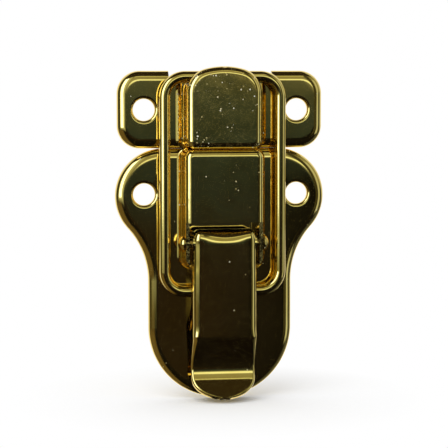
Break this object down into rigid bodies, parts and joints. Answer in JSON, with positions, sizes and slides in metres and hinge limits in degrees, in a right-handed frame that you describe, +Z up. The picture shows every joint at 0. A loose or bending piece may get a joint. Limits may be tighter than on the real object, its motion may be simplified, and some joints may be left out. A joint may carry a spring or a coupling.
{
  "type": "draw latch",
  "caption": "Gold-plated draw latch for a chest: a lever with an outturned lip pulls a wire loop over a keeper hook and locks by passing over centre.",
  "frame": {"origin": "midway between the two screw holes of the base plate, on the mounting plane at the back of the latch", "axes": "+X right, +Z up from the base plate toward the keeper, -Y away from the chest, toward the person opening it"},
  "size_m": [0.04, 0.0077, 0.0633],
  "materials": {
    "plate_plating": "polished plating",
    "cover_plating": "polished plating",
    "lever_plating": "polished plating",
    "wire_plating": "polished plating",
    "rivet_plating": "polished plating"
  },
  "bodies": {
    "plates": {"keeper_plate": "plate_plating", "hook": "cover_plating", "base_plate": "plate_plating", "lever_housing": "cover_plating", "pivot_pin": "rivet_plating"},
    "lever": {"lever": "lever_plating"},
    "loop": {"wire_loop": "wire_plating"}
  },
  "joints": [
    {"name": "lever_hinge", "type": "hinge", "parent": "plates", "child": "lever", "pos_m": [0, -0.005, -0.0091], "axis": [-1, 0, 0], "range_deg": [0, 90]},
    {"name": "loop_hinge", "type": "hinge", "parent": "lever", "child": "loop", "pos_m": [0, -0.004, -0.0183], "axis": [-1, 0, 0], "range_deg": [-72, 0]}
  ],
  "couplings": [
    {"joint": "loop_hinge", "follows": "lever_hinge", "ratio": -0.8}
  ]
}
